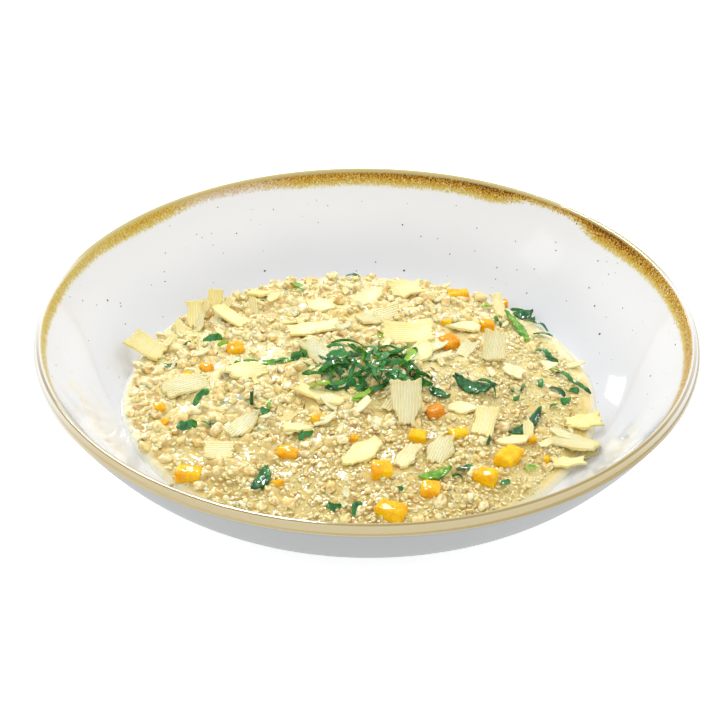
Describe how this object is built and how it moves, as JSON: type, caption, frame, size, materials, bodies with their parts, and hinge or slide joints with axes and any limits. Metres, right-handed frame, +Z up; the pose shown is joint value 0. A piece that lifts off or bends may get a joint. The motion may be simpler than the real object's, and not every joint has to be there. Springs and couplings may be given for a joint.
{
  "type": "risotto in a bowl",
  "caption": "Creamy risotto of small round grains with cheese shavings, squash cubes and shredded basil, served in a wide shallow stoneware bowl.",
  "frame": {"origin": "middle of the underside of the bowl's foot ring, on the table", "axes": "+Z up out of the bowl; -Y towards the viewer; +X to the viewer's right"},
  "size_m": [0.248, 0.248, 0.048],
  "materials": {
    "glaze": "glossy white glaze with fine dark speckles, brown below a beige lip",
    "grains": "stands for moist cooked grains in cream",
    "cheese": "stands for pale yellow hard cheese, ridged",
    "squash": "stands for moist orange squash",
    "dark_leaf": "stands for fresh dark green leaf",
    "bright_leaf": "stands for fresh light green leaf"
  },
  "bodies": {
    "root": {"bowl": "glaze", "risotto": "grains", "shaving_01": "cheese", "shaving_02": "cheese", "shaving_03": "cheese", "shaving_04": "cheese", "shaving_05": "cheese", "shaving_06": "cheese", "shaving_07": "cheese", "shaving_08": "cheese", "shaving_09": "cheese", "shaving_10": "cheese", "shaving_11": "cheese", "shaving_12": "cheese", "shaving_13": "cheese", "shaving_14": "cheese", "shaving_15": "cheese", "shaving_16": "cheese", "shaving_17": "cheese", "shaving_18": "cheese", "shaving_19": "cheese", "shaving_20": "cheese", "shaving_21": "cheese", "shaving_22": "cheese", "shaving_23": "cheese", "shaving_24": "cheese", "shaving_25": "cheese", "shaving_26": "cheese", "shaving_27": "cheese", "shaving_28": "cheese", "shaving_29": "cheese", "shaving_30": "cheese", "shaving_31": "cheese", "shaving_32": "cheese", "squash_01": "squash", "squash_02": "squash", "squash_03": "squash", "squash_04": "squash", "squash_05": "squash", "squash_06": "squash", "squash_07": "squash", "squash_08": "squash", "squash_09": "squash", "squash_10": "squash", "squash_11": "squash", "squash_12": "squash", "squash_13": "squash", "squash_14": "squash", "squash_15": "squash", "chive_long": "bright_leaf", "basil_curl": "dark_leaf", "basil_loop": "dark_leaf", "leaf_bright": "bright_leaf", "leaf_back": "dark_leaf", "spinach_long": "dark_leaf", "leaf_front": "bright_leaf", "spinach_torn": "dark_leaf", "basil_shreds": "dark_leaf"}
  },
  "joints": []
}
